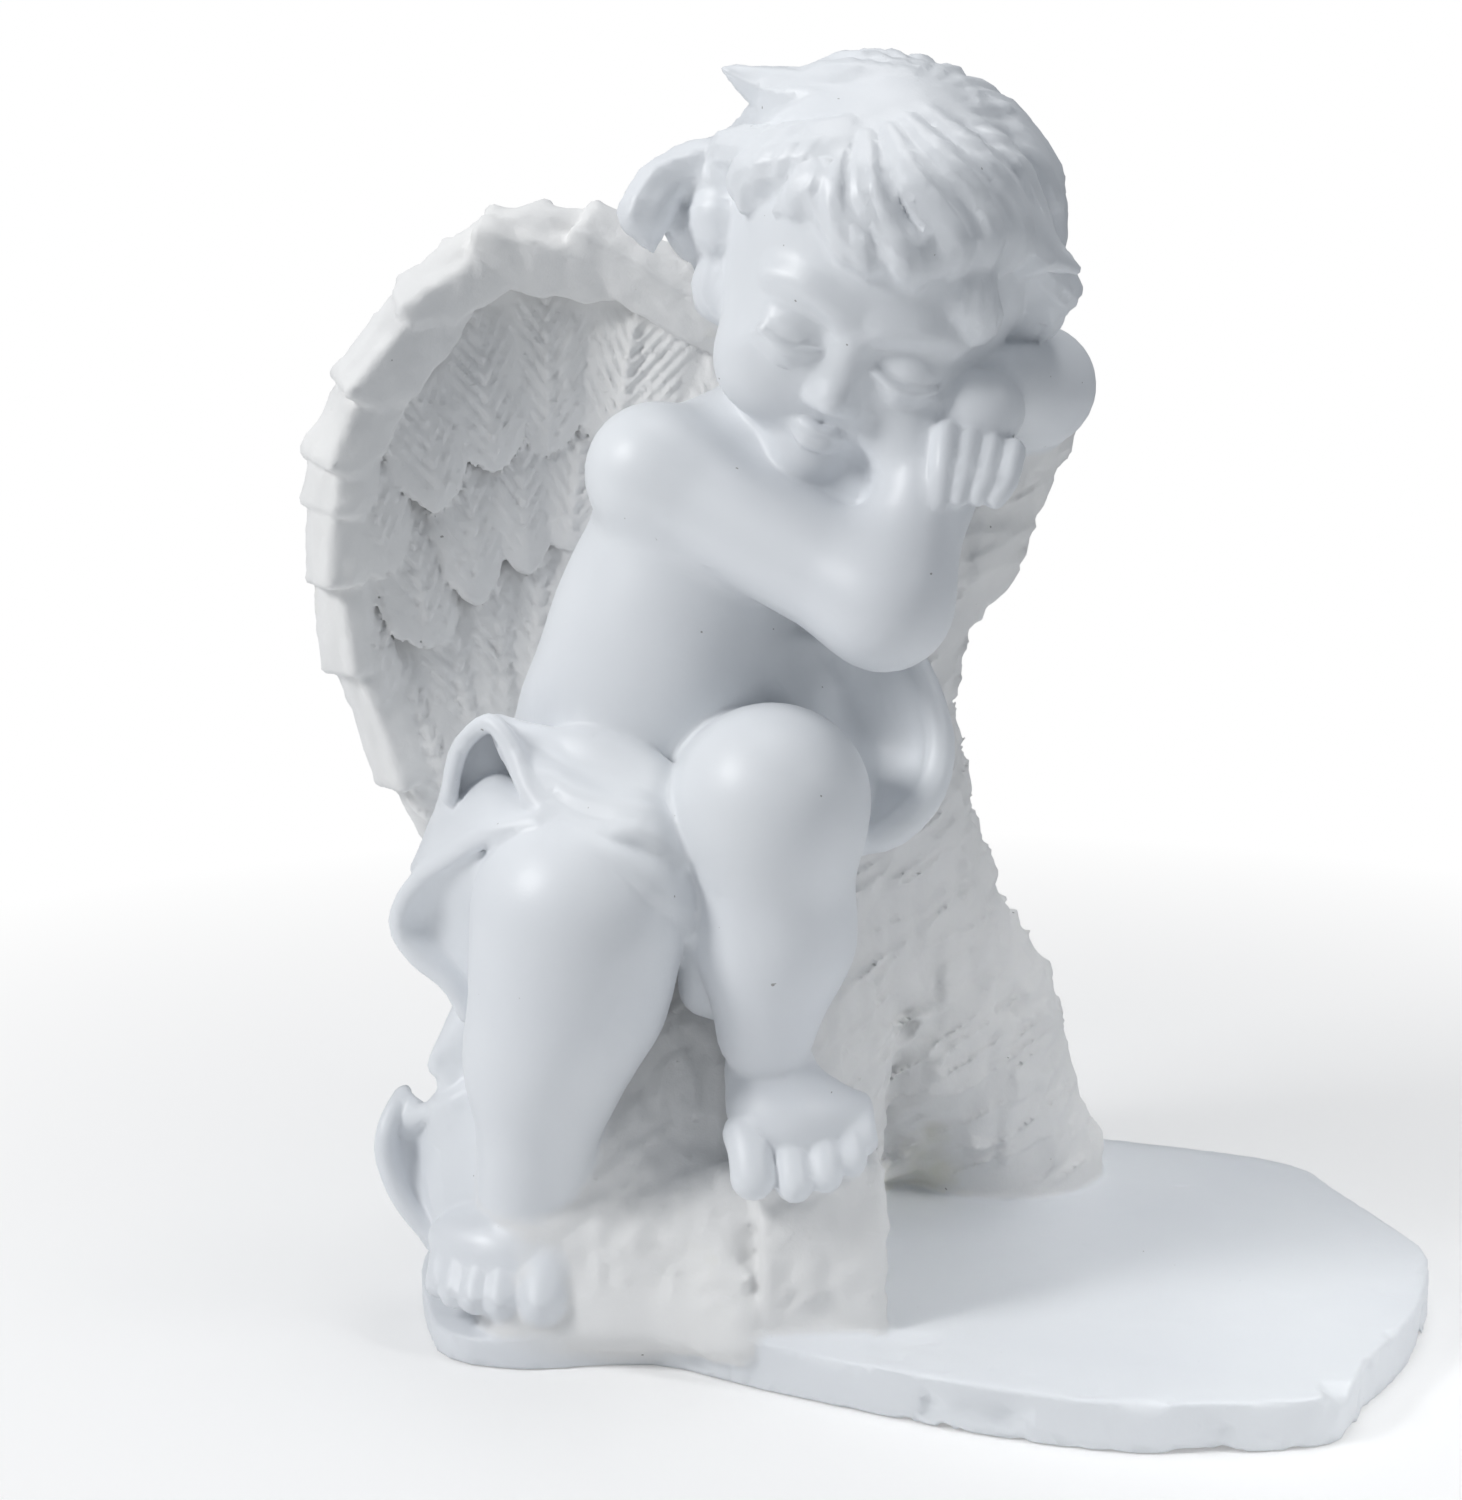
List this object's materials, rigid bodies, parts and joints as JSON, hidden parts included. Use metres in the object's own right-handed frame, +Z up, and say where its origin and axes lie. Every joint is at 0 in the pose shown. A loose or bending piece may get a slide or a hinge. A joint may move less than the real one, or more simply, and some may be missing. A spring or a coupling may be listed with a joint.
{
  "type": "cemetery angel statue",
  "caption": "Cast statue of a child angel asleep on a rock, with a flat round ledge beside it for a grave candle.",
  "frame": {"origin": "centre of the bounding box on the ground plane, under the base slab", "axes": "+Z up, -Y the front that faces the viewer, +X from the figure's right wing towards the candle ledge"},
  "size_m": [0.2712, 0.1842, 0.3007],
  "materials": {
    "plaster": "satin white paint over cast plaster"
  },
  "bodies": {
    "root": {"angel_statue": "plaster"}
  },
  "joints": []
}
